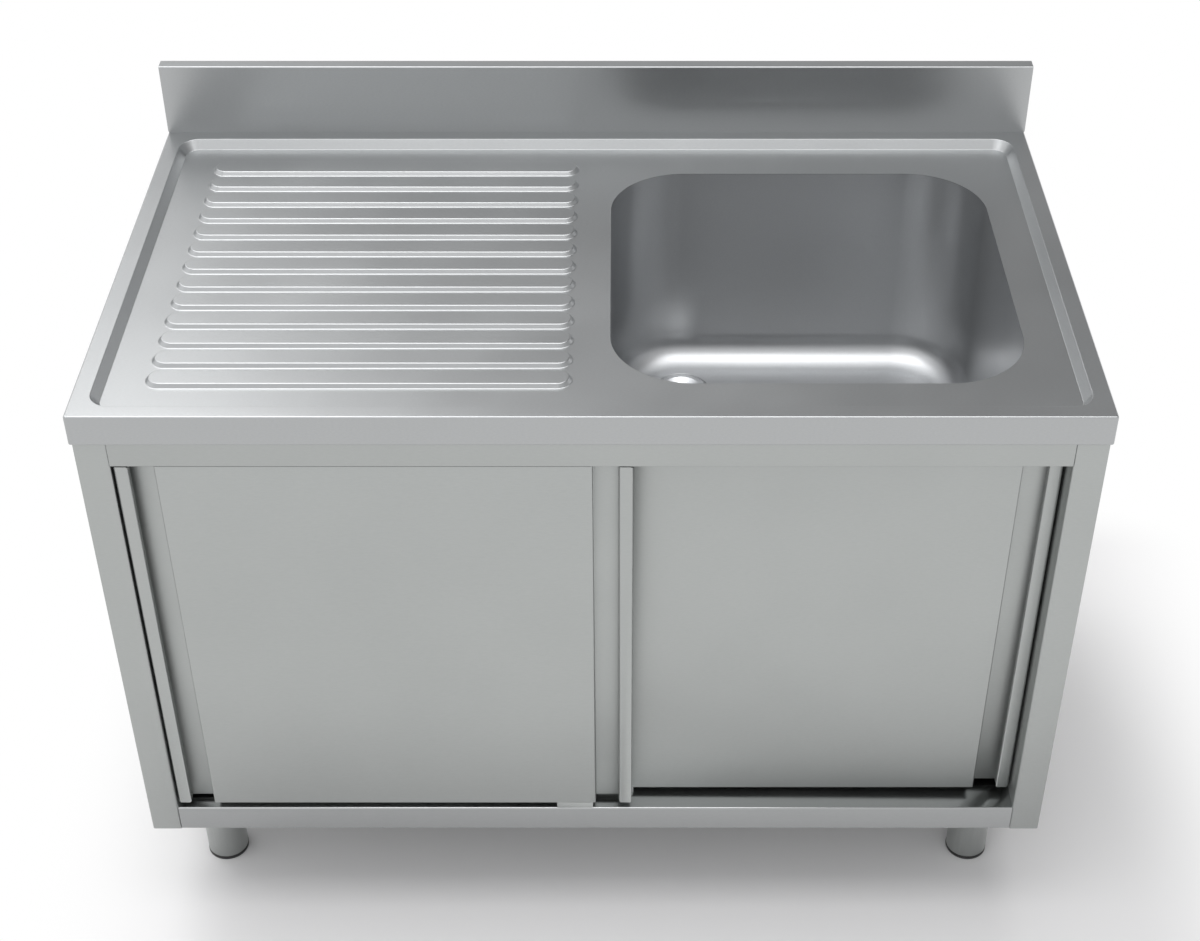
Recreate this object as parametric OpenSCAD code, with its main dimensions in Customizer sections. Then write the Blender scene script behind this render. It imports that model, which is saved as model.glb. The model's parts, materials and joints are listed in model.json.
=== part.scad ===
// Stainless steel sink cabinet: pressed drainer top with one bowl, sliding doors, adjustable feet.
// Origin on the floor, centred under the whole object; front faces -Y, height is +Z.

/* [Worktop] */
// Overall width of the worktop
top_w = 1200; // [1160:10:1300]
// Overall depth of the worktop, front skirt to the back of the upstand
top_d = 700; // [680:10:760]
// Height of the worktop rim above the floor
top_h = 850; // [800:10:900]
// Thickness of the worktop sheet
top_t = 1.2; // [1:0.1:1.5]
// Depth of the folded skirt below the rim
skirt_h = 40; // [36:1:50]
// Height of the safety hem inside the skirt
hem_h = 10; // [6:1:14]
// Height of the rear upstand above the rim
upstand_h = 100; // [60:5:150]
// Depth of the box-folded upstand
upstand_t = 20; // [14:1:26]

/* [Recessed deck] */
// Width of the raised rim along each side
rim_side = 22; // [18:1:26]
// Width of the raised rim along the front
rim_front = 21; // [18:1:26]
// Width of the raised rim in front of the upstand
rim_back = 19; // [14:1:24]
// Depth of the pressed recess below the rim
recess_depth = 12; // [8:1:14]
// How far the sloping recess wall runs inwards
recess_run = 9; // [6:1:11]
// Plan radius of the recess corners at the rim
recess_r = 27; // [20:1:32]

/* [Drainer ribs] */
// Number of pressed ribs
rib_count = 13; // [9:1:13]
// Distance from one rib to the next
rib_pitch = 42; // [40:1:43]
// Width of a rib at its foot
rib_w = 36; // [28:1:38]
// Height of a rib above the deck
rib_h = 5; // [3:0.5:6]
// How far the sloping side of a rib runs inwards
rib_run = 4; // [3:0.5:6]
// Length of a rib over its round ends
rib_len = 501; // [440:1:505]
// Distance from the left edge of the worktop to the ribs
rib_left = 76; // [60:1:78]
// Distance from the front of the worktop to the first rib
rib_front = 73; // [60:1:80]

/* [Bowl] */
// Inside width of the bowl
bowl_w = 500; // [400:10:500]
// Inside depth of the bowl from front to back
bowl_d = 500; // [400:10:500]
// Depth of the bowl floor below the deck
bowl_depth = 300; // [200:2:310]
// Plan radius of the bowl corners
bowl_r = 100; // [90:5:120]
// Radius between the bowl walls and floor
bowl_fillet = 40; // [20:1:45]
// Thickness of the drawn bowl
bowl_t = 1; // [0.8:0.1:1.5]
// Distance from the right edge of the worktop to the bowl
bowl_right = 79; // [68:1:100]
// Distance from the front of the worktop to the bowl
bowl_front = 84; // [74:1:94]
// Width of the weld flange round the bowl mouth
bowl_flange = 12; // [8:1:14]

/* [Waste outlet] */
// Radius of the hole in the bowl floor
outlet_hole_r = 26; // [24:0.5:28]
// Radius of the visible waste flange
waste_flange_r = 35; // [33:0.5:40]
// Depth of the pressed seat round the hole
waste_seat_depth = 2.5; // [2:0.5:4]
// Outside radius of the outlet spigot
spigot_r = 20; // [16:0.5:22]
// Length of the outlet spigot
spigot_len = 40; // [30:1:60]
// Depth of the waste cup under the bowl
cup_h = 36; // [30:1:50]

/* [Carcass] */
// Thickness of the carcass sheet
body_t = 1; // [0.8:0.1:1.2]
// Outside radius of the bends in the carcass sheet
bend_r = 2.5; // [1.5:0.5:3]
// How far the carcass stands inside the worktop edge
inset = 3; // [3:0.5:8]
// Width of each folded corner post
post_w = 39; // [30:1:45]
// Depth of the return behind each post
post_return = 60; // [58:1:70]
// Distance from the rim down to the bottom of the front rail
fascia_drop = 73; // [70:1:80]
// Height of the cabinet floor above the ground
floor_z = 203; // [190:1:230]
// Height of the folded front edge of the floor
floor_flange = 40; // [36:1:50]

/* [Sliding doors] */
// How far the two doors overlap when shut
door_overlap = 96.6; // [90:0.1:110]
// Thickness of a door
door_t = 24; // [22:1:26]
// Thickness of the door sheet
door_sheet = 1; // [0.8:0.1:1.2]
// Outside radius of the bends in the door sheet
door_bend = 2; // [1.5:0.5:2.5]
// Width of the vertical grip bar
grip_w = 17; // [14:1:22]
// Width of the finger recess beside the bar
finger_w = 30.4; // [24:0.4:40]
// Depth of the finger recess
finger_depth = 16; // [12:1:16]
// Gap between the two doors
door_gap = 4; // [3:0.5:6]
// Gap between a shut door and the post
door_side_gap = 2.6; // [1:0.1:4]
// Gap under a door
door_floor_gap = 10; // [8:0.5:12]
// Gap between a door and the rail above it
door_top_gap = 0.6; // [0.5:0.1:3]

/* [Hanging gear] */
// Outside radius of a hanging wheel
wheel_r = 13; // [11:0.5:14]
// Radius at the bottom of the wheel groove
groove_r = 10; // [8:0.5:10]
// Width of a wheel
wheel_w = 9; // [8:0.5:10]
// Radius of a wheel axle
axle_r = 3; // [2.5:0.25:4]
// Thickness of the track and of the hanger plate
rail_t = 2; // [1.5:0.1:2]
// Distance from a door edge to its hanger
hanger_inset = 100; // [80:5:140]

/* [Legs] */
// Outside radius of a leg tube
leg_r = 28; // [24:1:30]
// Distance from the worktop side to the leg axis
leg_side = 67.5; // [65:0.5:90]
// Distance from the worktop front or back to the leg axis
leg_front = 121; // [115:1:150]
// Radius of the pipe hole in the cabinet floor under the waste
pipe_hole_r = 36; // [30:1:38]
// Thickness of the black ring under the leg
foot_ring_h = 5; // [2:0.5:6]
// How far a foot screws out
foot_travel = 40; // [20:1:50]

/* [Hidden] */
$fn = 64;

// Clearances and small shared sizes
seat_gap = 0.3;      // between pieces that pass close by without touching
fit_gap = 0.05;      // radial clearance of a pin in its hole
cut = 1;             // how far a cutting body runs past what it cuts

// Outline planes
half_w = top_w / 2;
y_front = -top_d / 2;
y_back = top_d / 2;
deck_z = top_h - recess_depth;
deck_under = deck_z - top_t;

// Recess outline at the rim
recess_x = half_w - rim_side;
recess_y0 = y_front + rim_front;
recess_y1 = y_back - upstand_t - rim_back;
recess_mid_y = (recess_y0 + recess_y1) / 2;
recess_dx = recess_x - recess_r;
recess_dy = (recess_y1 - recess_y0) / 2 - recess_r;

// Bowl outline
bowl_x = half_w - bowl_right - bowl_w / 2;
bowl_y = y_front + bowl_front + bowl_d / 2;
bowl_dx = bowl_w / 2 - bowl_r;
bowl_dy = bowl_d / 2 - bowl_r;
bowl_floor = deck_z - bowl_depth;
fillet_steps = 10;
bend_steps = 6;

// The waste sits in the rear left bowl corner, just clear of the fillet behind it
waste_seat_margin = 3;
waste_seat_r = waste_flange_r + waste_seat_margin;
waste_fillet_gap = 5;
waste_x = bowl_x - bowl_dx;
waste_y = bowl_y + bowl_d / 2 - bowl_fillet - waste_seat_r - waste_fillet_gap;
waste_seat_z = bowl_floor - waste_seat_depth;
seal_top_h = 1;
seal_bottom_h = 2.5;
seal_inset = 1;
grid_t = 2;
grid_drop = 3;
grid_bevel = 2;
neck_t = 1.5;
neck_len = 14;
screw_r = 3;
screw_head_r = 7;
screw_head_h = 2.5;
cup_t = 3;
cup_lip_h = 4;
cup_lip_margin = 2;
cup_lip_r = waste_flange_r + cup_lip_margin;
boss_r = 8;
boss_h = 8;
web_t = 3;
spigot_t = 2.5;
cup_top_z = waste_seat_z - bowl_t - seal_bottom_h;
cup_floor_z = cup_top_z - cup_h;
grid_top_z = waste_seat_z + seal_top_h + grid_t;
grid_z = grid_top_z - grid_drop;
drain_hole_r = 2.6;
drain_web = 2;
drain_ring_in = screw_head_r + drain_web + drain_hole_r;
drain_ring_out = drain_ring_in + 2 * drain_hole_r + drain_web;
drain_count_in = 6;
drain_count_out = 12;

// Carcass planes
body_x = half_w - inset;
body_y0 = y_front + inset;
body_y1 = y_back - inset;
body_z0 = floor_z - floor_flange;
body_z1 = deck_under;
post_x = body_x - post_w;
rail_bottom = top_h - fascia_drop;
flange_seat = 16;
side_flange = rim_side + recess_run + flange_seat - inset;
back_fold = 20;
back_flange = 60;
side_y1 = body_y1 - max(bend_r, 2 * body_t + seat_gap);
rail_hem_h = 10;
hem_gap = 0.4;
hem_flat = 0.1;
floor_back_flange = 30;
floor_side_flange = 20;
floor_lip = 20;

// Doors
door_w = post_x - door_side_gap + door_overlap / 2;
door_x0 = -(post_x - door_side_gap);
door_y0 = body_y0 + body_t;
door_z0 = floor_z + door_floor_gap;
door_z1 = rail_bottom - door_top_gap;
door_h = door_z1 - door_z0;
lane_step = door_t + door_gap;
panel_x = grip_w + finger_w;
grip_t = 1.2;
grip_round = 4;
grip_lip = 3;
grip_lip_round = 1.5;
grip_drop = 1;
grip_end = 3;

// Hanging gear, measured from the door front inwards
plate_y = 6;
groove_y = plate_y + rail_t + seat_gap + wheel_w / 2;
track_web_y = door_t - rail_t;
wheel_gap = 0.2;
axle_rise = 36;
axle_z = door_z1 + axle_rise;
lip_top = axle_z - groove_r;
track_flange_top = axle_z - wheel_r - seat_gap;
track_top = body_z1 - body_t;
hanger_w = 50;
hanger_plate_w = 40;
hanger_foot_d = 16;
hanger_head = 9;
axle_head_r = 5;
axle_head_h = 1.5;
groove_play = 0.4;
groove_w = rail_t + 2 * groove_play;
track_end_gap = 3;
front_rail_depth = body_t + lane_step + door_t;
stop_len = 12;
stop_h = 22;
stop_gap = 0.5;

// Floor guides
guide_w = 48;
guide_fin_w = 36;
guide_fin_t = 3;
guide_fin_h = 22;
guide_offset = 3;
fin_y = (finger_depth + door_t) / 2;

// Stiffeners under the drainer
stiff_w = 60;
stiff_lip = 12;
stiff_h = 25;
stiff_end_gap = 5;
stiff_left = 114;
stiff_right = 384;
stiff_x = [for (d = [stiff_left, stiff_right]) -half_w + rib_left + d];
stiff_y0 = body_y0 + front_rail_depth + stiff_end_gap;
stiff_y1 = body_y1 - body_t - back_flange - stiff_end_gap;

// Legs
leg_x = half_w - leg_side;
leg_y = y_back - leg_front;
leg_t = 1.5;
channel_w = 76;
channel_t = 2;
channel_h = 32;
channel_z = floor_z - body_t - channel_h;
leg_plate_r = 38;
leg_plate_t = 3;
foot_ring_extra = 0.3;
bush_h = 30;
bush_rise = 10;
bush_z = foot_ring_h + bush_rise;
stem_r = 8;
stem_gap = 0.1;
stem_over = 5;
stem_top = bush_z + bush_h + foot_travel + stem_over;
foot_cup_h = 6;
foot_cup_gap = 0.3;

// Shared shapes

// A plan shape with four round corners: profile is [radius from corner centre, z]
module round_plan(dx, dy, profile) {
  z_axis = [for (p = profile) if (p[0] == 0) p[1]];
  for (sx = [-1, 1], sy = [-1, 1])
    translate([sx * dx, sy * dy, 0])
      rotate([0, 0, sx > 0 ? (sy > 0 ? 0 : -90) : (sy > 0 ? 90 : 180)])
        rotate_extrude(angle = 90) polygon(profile);
  for (turn = [0, 180]) rotate([0, 0, turn]) {
    translate([dx, 0, 0]) rotate([90, 0, 0])
      linear_extrude(2 * dy, center = true) polygon(profile);
    translate([0, dy, 0]) rotate([90, 0, 90])
      linear_extrude(2 * dx, center = true) polygon(profile);
  }
  translate([-dx, -dy, min(z_axis)]) cube([2 * dx, 2 * dy, max(z_axis) - min(z_axis)]);
}

// A straight ridge with two half-round ends, along X from x0 to x1
module ridge(x0, x1, profile) {
  mirrored = [for (p = reversed(profile)) if (p[0] > 0) [-p[0], p[1]]];
  translate([x0, 0, 0]) rotate([90, 0, 90]) linear_extrude(x1 - x0) polygon(concat(profile, mirrored));
  translate([x0, 0, 0]) rotate([0, 0, 90]) rotate_extrude(angle = 180) polygon(profile);
  translate([x1, 0, 0]) rotate([0, 0, -90]) rotate_extrude(angle = 180) polygon(profile);
}

// Points of an arc
function arc(cx, cz, r, a0, a1, n) = [for (i = [0:n]) let (a = a0 + (a1 - a0) * i / n)
  [cx + r * cos(a), cz + r * sin(a)]];

// Left-hand normal of the leg from p to q
function left_of(p, q) = [p[1] - q[1], q[0] - p[0]] / norm(q - p);

// Points round one bend of a folded sheet: p, q, v are three path points, r the outside radius,
// t the sheet thickness and shift 0 on the path's own face or t on the face to its left
function bend(p, q, v, r, t, shift) = let (
    a = left_of(p, q), b = left_of(q, v),
    turn = atan2(a[0] * b[1] - a[1] * b[0], a * b),
    s = sign(turn), face_r = s > 0 ? r : r - t,
    centre = q + s * face_r * (a + b) / (1 + a * b), arc_r = face_r - s * shift)
  [for (k = [0:bend_steps]) let (w = turn * k / bend_steps)
    centre - s * arc_r * [a[0] * cos(w) - a[1] * sin(w), a[0] * sin(w) + a[1] * cos(w)]];

// One face of a folded sheet whose corner points lie on path
function sheet_face(path, r, t, shift) = let (last = len(path) - 1) concat(
  [path[0] + shift * left_of(path[0], path[1])],
  [for (i = [1:last - 1]) for (q = bend(path[i - 1], path[i], path[i + 1], r, t, shift)) q],
  [path[last] + shift * left_of(path[last - 1], path[last])]);

function reversed(list) = [for (i = [len(list) - 1:-1:0]) list[i]];

// Section of a folded sheet, lying to the left of its path
module folded(path, r, t) {
  polygon(concat(sheet_face(path, r, t, 0), reversed(sheet_face(path, r, t, t))));
}

// Lays a section drawn in depth and height along X from x0 to x1
module along_x(x0, x1) {
  translate([x0, 0, 0]) rotate([90, 0, 90]) linear_extrude(x1 - x0) children();
}

// Box between two corners
module block(x0, x1, y0, y1, z0, z1) {
  translate([x0, y0, z0]) cube([x1 - x0, y1 - y0, z1 - z0]);
}

module on_right() {
  mirror([1, 0, 0]) children();
}

// Worktop

module recess_void() {
  translate([0, recess_mid_y, 0]) round_plan(recess_dx, recess_dy, [
    [0, deck_z], [recess_r - recess_run, deck_z], [recess_r, top_h],
    [recess_r, top_h + cut], [0, top_h + cut]]);
}

module recess_shell() {
  slope = recess_run / recess_depth;
  wall = top_t * sqrt(1 + slope * slope);
  translate([0, recess_mid_y, 0]) round_plan(recess_dx, recess_dy, [
    [0, deck_under], [recess_r - (recess_depth + top_t) * slope + wall, deck_under],
    [recess_r + wall, top_h], [0, top_h]]);
}

module bowl_mouth(z0, z1) {
  translate([bowl_x, bowl_y, 0]) round_plan(bowl_dx, bowl_dy, [
    [0, z0], [bowl_r, z0], [bowl_r, z1], [0, z1]]);
}

module ribs(profile) {
  x0 = -half_w + rib_left + rib_w / 2;
  for (i = [0:rib_count - 1])
    translate([0, y_front + rib_front + rib_w / 2 + i * rib_pitch, 0])
      ridge(x0, x0 + rib_len - rib_w, profile);
}

module ribs_outside() {
  ribs([[0, deck_z - top_t / 2], [rib_w / 2, deck_z - top_t / 2], [rib_w / 2, deck_z],
    [rib_w / 2 - rib_run, deck_z + rib_h], [0, deck_z + rib_h]]);
}

module ribs_inside() {
  slope = rib_run / rib_h;
  wall = top_t * sqrt(1 + slope * slope);
  foot_r = rib_w / 2 + top_t * slope - wall;
  crest_r = rib_w / 2 - (rib_h - top_t) * slope - wall;
  ribs([[0, deck_under - cut], [foot_r, deck_under - cut], [foot_r, deck_under],
    [crest_r, deck_z + rib_h - top_t], [0, deck_z + rib_h - top_t]]);
}

module skirt() {
  for (side = [0, 1]) mirror([side, 0, 0]) {
    block(half_w - top_t, half_w, y_front, y_back, top_h - skirt_h, top_h);
    block(half_w - 2 * top_t, half_w - top_t, y_front + top_t, y_back - top_t,
      top_h - skirt_h, top_h - skirt_h + hem_h);
  }
  block(-half_w, half_w, y_front, y_front + top_t, top_h - skirt_h, top_h);
  block(-half_w + top_t, half_w - top_t, y_front + top_t, y_front + 2 * top_t,
    top_h - skirt_h, top_h - skirt_h + hem_h);
}

module upstand() {
  face_y = y_back - upstand_t;
  crest = top_h + upstand_h;
  block(-half_w, half_w, face_y, face_y + top_t, top_h - top_t, crest);
  block(-half_w, half_w, face_y, y_back, crest - top_t, crest);
  block(-half_w, half_w, y_back - top_t, y_back, top_h - skirt_h, crest);
}

module worktop() {
  color("silver") difference() {
    union() {
      difference() {
        union() {
          block(-half_w, half_w, y_front, y_back - upstand_t + top_t, top_h - top_t, top_h);
          recess_shell();
        }
        recess_void();
      }
      ribs_outside();
      skirt();
      upstand();
    }
    ribs_inside();
    bowl_mouth(deck_under - cut, top_h);
  }
}

module upstand_cap_left() {
  color("silver") block(-half_w, -half_w + top_t, y_back - upstand_t + top_t, y_back - top_t,
    top_h, top_h + upstand_h - top_t);
}

module upstand_cap_right() {
  on_right() upstand_cap_left();
}

module bowl() {
  flat_r = bowl_r - bowl_fillet;
  fillet_z = bowl_floor + bowl_fillet;
  inside = concat([[0, bowl_floor]], arc(flat_r, fillet_z, bowl_fillet, -90, 0, fillet_steps),
    [[bowl_r, deck_under + cut], [0, deck_under + cut]]);
  outside = concat([[0, bowl_floor - bowl_t]],
    arc(flat_r, fillet_z, bowl_fillet + bowl_t, -90, 0, fillet_steps),
    [[bowl_r + bowl_t, deck_under - bowl_t], [bowl_r + bowl_flange, deck_under - bowl_t],
      [bowl_r + bowl_flange, deck_under], [0, deck_under]]);
  color("gainsboro") difference() {
    union() {
      translate([bowl_x, bowl_y, 0]) round_plan(bowl_dx, bowl_dy, outside);
      translate([waste_x, waste_y, waste_seat_z - bowl_t])
        cylinder(h = waste_seat_depth + bowl_t, r = waste_seat_r + bowl_t);
    }
    translate([bowl_x, bowl_y, 0]) round_plan(bowl_dx, bowl_dy, inside);
    translate([waste_x, waste_y, waste_seat_z]) cylinder(h = waste_seat_depth + cut, r = waste_seat_r);
    translate([waste_x, waste_y, waste_seat_z - bowl_t - cut])
      cylinder(h = bowl_t + 2 * cut, r = outlet_hole_r);
  }
}

module deck_stiffener(x) {
  color("silver") {
    z1 = deck_under;
    z0 = z1 - stiff_h;
    inner = stiff_w / 2 - stiff_lip;
    difference() {
      union() {
        block(x - stiff_w / 2, x + stiff_w / 2, stiff_y0, stiff_y1, z1 - body_t, z1);
        block(x - inner - body_t, x + inner + body_t, stiff_y0, stiff_y1, z0, z1);
      }
      block(x - inner, x + inner, stiff_y0 - cut, stiff_y1 + cut, z0 + body_t, z1 + cut);
    }
  }
}

module deck_stiffener_left() {
  deck_stiffener(stiff_x[0]);
}

module deck_stiffener_right() {
  deck_stiffener(stiff_x[1]);
}

// Waste outlet

module waste_ring(r0, r1, z0, z1) {
  translate([waste_x, waste_y, z0]) difference() {
    cylinder(h = z1 - z0, r = r1);
    translate([0, 0, -cut]) cylinder(h = z1 - z0 + 2 * cut, r = r0);
  }
}

module waste_seal_top() {
  color("dimgray") waste_ring(outlet_hole_r + seat_gap, waste_flange_r - seal_inset,
    waste_seat_z, waste_seat_z + seal_top_h);
}

module waste_seal_bottom() {
  color("dimgray") waste_ring(outlet_hole_r, cup_lip_r - seal_inset,
    cup_top_z, cup_top_z + seal_bottom_h);
}

module waste_grid() {
  neck_r = outlet_hole_r - seat_gap;
  color("gainsboro") translate([waste_x, waste_y, 0]) difference() {
    union() {
      translate([0, 0, grid_top_z - grid_t]) cylinder(h = grid_t, r = waste_flange_r);
      translate([0, 0, grid_top_z - neck_len]) cylinder(h = neck_len, r = neck_r);
    }
    translate([0, 0, grid_z]) rotate_extrude() polygon([[0, 0], [neck_r - neck_t, 0],
      [neck_r + grid_bevel, grid_drop], [neck_r + grid_bevel, grid_drop + cut], [0, grid_drop + cut]]);
    translate([0, 0, grid_top_z - neck_len - cut])
      cylinder(h = grid_z - grid_t - grid_top_z + neck_len + cut, r = neck_r - neck_t);
    translate([0, 0, grid_z - grid_t - cut]) cylinder(h = grid_t + 2 * cut, r = screw_r + fit_gap);
    for (ring = [[drain_count_in, drain_ring_in], [drain_count_out, drain_ring_out]])
      for (i = [0:ring[0] - 1])
        rotate([0, 0, i * 360 / ring[0]]) translate([ring[1], 0, grid_z - grid_t - cut])
          cylinder(h = grid_t + 2 * cut, r = drain_hole_r, $fn = 24);
  }
}

module waste_cup() {
  color("whitesmoke") translate([waste_x, waste_y, 0]) {
    difference() {
      union() {
        translate([0, 0, cup_top_z - cup_lip_h]) cylinder(h = cup_lip_h, r = cup_lip_r);
        translate([0, 0, cup_floor_z]) cylinder(h = cup_h, r = outlet_hole_r + cup_t);
        translate([0, 0, cup_floor_z - spigot_len]) cylinder(h = spigot_len, r = spigot_r);
      }
      translate([0, 0, cup_floor_z + cup_t]) cylinder(h = cup_h, r = outlet_hole_r);
      translate([0, 0, cup_floor_z - spigot_len - cut])
        cylinder(h = spigot_len + cup_t + 2 * cut, r = spigot_r - spigot_t);
    }
    difference() {
      union() {
        translate([0, 0, cup_floor_z + cup_t]) cylinder(h = boss_h, r = boss_r);
        block(-outlet_hole_r - cup_t / 2, outlet_hole_r + cup_t / 2, -web_t / 2, web_t / 2,
          cup_floor_z + cup_t, cup_floor_z + cup_t + boss_h);
      }
      translate([0, 0, cup_floor_z]) cylinder(h = cup_t + boss_h + cut, r = screw_r + fit_gap);
    }
  }
}

module waste_screw() {
  color("silver") translate([waste_x, waste_y, 0]) {
    translate([0, 0, grid_z]) cylinder(h = screw_head_h, r = screw_head_r);
    translate([0, 0, cup_floor_z + cup_t]) cylinder(h = grid_z - cup_floor_z - cup_t, r = screw_r);
  }
}

// Carcass

module side_left() {
  color("lightgray") {
    translate([0, 0, body_z0]) linear_extrude(body_z1 - body_z0) folded([
      [-body_x + back_fold, body_y1], [-body_x, body_y1], [-body_x, body_y0],
      [-post_x, body_y0], [-post_x, body_y0 + post_return]], bend_r, body_t);
    block(-body_x, -body_x + side_flange, body_y0 + post_return, side_y1, body_z1 - body_t, body_z1);
    block(-body_x, -body_x + back_fold, body_y0 + post_return, side_y1, body_z0, body_z0 + body_t);
  }
}

module side_right() {
  on_right() side_left();
}

module back_panel() {
  x1 = body_x - bend_r;
  y1 = body_y1 - body_t;
  flange_x = body_x - side_flange - seat_gap;
  color("lightgray") {
    block(-x1, x1, y1 - body_t, y1, body_z0, body_z1);
    block(-flange_x, flange_x, y1 - back_flange, y1, body_z1 - body_t, body_z1);
  }
}

// Hole under the waste for its pipe, through the floor and any channel in the way
module pipe_hole() {
  translate([waste_x, waste_y, channel_z - cut]) cylinder(h = floor_z - channel_z + 2 * cut, r = pipe_hole_r);
}

module floor_shelf() {
  x_wide = body_x - body_t;
  y_step = body_y0 + post_return + seat_gap;
  y1 = body_y1 - 2 * body_t;
  color("lightgray") difference() {
    union() {
      along_x(-post_x, post_x) folded([
        [y1, floor_z - floor_back_flange], [y1, floor_z], [body_y0, floor_z],
        [body_y0, body_z0], [body_y0 + floor_lip, body_z0]], bend_r, body_t);
      for (side = [0, 1]) mirror([side, 0, 0])
        translate([0, y_step, 0]) rotate([-90, 0, 0]) mirror([0, 1, 0]) linear_extrude(side_y1 - y_step)
          folded([[x_wide, floor_z - floor_side_flange], [x_wide, floor_z], [post_x - cut, floor_z]],
            bend_r, body_t);
    }
    pipe_hole();
  }
}

module front_rail() {
  hem_y = body_y0 + 2 * body_t + hem_gap;
  hem_r = body_t + hem_gap / 2 - hem_flat;
  color("lightgray") {
    along_x(-post_x, post_x) folded([
      [body_y0 + front_rail_depth, body_z1], [body_y0, body_z1], [body_y0, rail_bottom + rail_hem_h]],
      bend_r, body_t);
    along_x(-post_x, post_x) folded([
      [body_y0, rail_bottom + rail_hem_h], [body_y0, rail_bottom], [hem_y, rail_bottom],
      [hem_y, rail_bottom + rail_hem_h]], hem_r, body_t);
  }
}

// One piece of track with an upturned lip for each door lane
module door_track() {
  x1 = post_x - track_end_gap;
  z0 = track_flange_top - rail_t;
  color("silver") {
    block(-x1, x1, body_y0 + bend_r + seat_gap, door_y0 + lane_step + door_t, track_top - rail_t, track_top);
    for (lane = [0, 1]) {
      y = door_y0 + lane * lane_step;
      block(-x1, x1, y + track_web_y, y + door_t, z0, track_top);
      block(-x1, x1, y + groove_y - rail_t / 2, y + door_t, z0, track_flange_top);
      block(-x1, x1, y + groove_y - rail_t / 2, y + groove_y + rail_t / 2, z0, lip_top);
    }
  }
}

// Rubber stop at the left end of a lane; wheels meet it when the door is home
module track_stop(lane) {
  x1 = door_x0 + hanger_inset - wheel_r - stop_gap;
  y = door_y0 + lane * lane_step;
  color("dimgray") block(x1 - stop_len, x1, y + groove_y + rail_t / 2, y + track_web_y,
    track_flange_top, track_flange_top + stop_h);
}

module stop_front_left() {
  track_stop(0);
}

module stop_front_right() {
  on_right() track_stop(0);
}

module stop_rear_left() {
  track_stop(1);
}

module stop_rear_right() {
  on_right() track_stop(1);
}

// Floor guide with an upright fin that runs inside the hollow door
module floor_guide(lane) {
  y = door_y0 + lane * lane_step;
  x1 = -guide_offset;
  x_mid = x1 - guide_w / 2;
  color("silver") {
    block(x1 - guide_w, x1, y, y + door_t, floor_z, door_z0 - seat_gap);
    block(x_mid - guide_fin_w / 2, x_mid + guide_fin_w / 2, y + fin_y - guide_fin_t / 2,
      y + fin_y + guide_fin_t / 2, floor_z, door_z0 + guide_fin_h);
  }
}

module guide_front() {
  floor_guide(0);
}

module guide_rear() {
  on_right() floor_guide(1);
}

// Sliding door, drawn for the front lane with its left edge at x = 0 and its front at y = 0

module door_place(lane) {
  if (lane == 0) translate([door_x0, door_y0, door_z0]) children();
  else on_right() translate([door_x0, door_y0 + lane_step, door_z0]) children();
}

module door_skin() {
  t = door_sheet;
  back = door_t - t;
  far = door_w - panel_x;
  path = [
    [0, back], [0, finger_depth], [panel_x, finger_depth], [panel_x, 0],
    [far, 0], [far, finger_depth], [door_w, finger_depth], [door_w, back]];
  color("lightgray") {
    linear_extrude(door_h) folded(path, door_bend, t);
    translate([0, 0, door_h - t]) linear_extrude(t) polygon(sheet_face(path, door_bend, t, 0));
    block(panel_x + t, far - t, t, finger_depth, 0, t);
  }
}

module door_liner() {
  color("gray") block(0, door_w, door_t - door_sheet, door_t, 0, door_h);
}

// Front view of a grip bar, with its round end corners
module grip_outline(h) {
  x1 = grip_w - grip_end;
  z1 = h - grip_end;
  translate([0, finger_depth, 0]) rotate([90, 0, 0]) linear_extrude(finger_depth) polygon(concat(
    arc(x1, grip_end, grip_end, -90, 0, bend_steps), arc(x1, z1, grip_end, 0, 90, bend_steps),
    arc(grip_end, z1, grip_end, 90, 180, bend_steps), arc(grip_end, grip_end, grip_end, 180, 270, bend_steps)));
}

// Grip bar folded from sheet and open towards the finger recess, so that fingers hook behind it
module door_grip() {
  h = door_h - grip_drop;
  face = grip_w - grip_lip;
  outside = [[grip_w, finger_depth], [0, finger_depth], [0, 0], [grip_w, 0]];
  color("silver") intersection() {
    union() {
      linear_extrude(h) folded([[face, finger_depth], [0, finger_depth], [0, 0], [face, 0]], grip_round, grip_t);
      linear_extrude(h) folded([[face - cut, 0], [grip_w, 0], [grip_w, grip_lip]], grip_lip_round, grip_t);
      for (z = [0, h - grip_t])
        translate([0, 0, z]) linear_extrude(grip_t) polygon(sheet_face(outside, grip_round, grip_t, 0));
    }
    grip_outline(h);
  }
}

module door_grip_far() {
  translate([door_w - grip_w, 0, 0]) door_grip();
}

// Angle bracket that stands on the door and carries the axle
module hanger(x) {
  z_axle = axle_z - door_z0;
  color("silver") difference() {
    union() {
      block(x - hanger_w / 2, x + hanger_w / 2, plate_y, plate_y + hanger_foot_d, door_h, door_h + rail_t);
      block(x - hanger_plate_w / 2, x + hanger_plate_w / 2, plate_y, plate_y + rail_t,
        door_h, z_axle + hanger_head);
    }
    translate([x, plate_y - cut, z_axle]) rotate([-90, 0, 0])
      cylinder(h = rail_t + 2 * cut, r = axle_r + fit_gap);
  }
}

// Riveted axle with a head at each end
module axle(x) {
  z_axle = axle_z - door_z0;
  wheel_end = groove_y + wheel_w / 2 + seat_gap;
  color("silver") translate([x, 0, z_axle]) rotate([-90, 0, 0]) {
    translate([0, 0, plate_y - axle_head_h]) cylinder(h = axle_head_h, r = axle_head_r);
    translate([0, 0, plate_y - axle_head_h]) cylinder(h = wheel_end - plate_y + axle_head_h, r = axle_r);
    translate([0, 0, wheel_end]) cylinder(h = axle_head_h, r = axle_head_r);
  }
}

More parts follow.
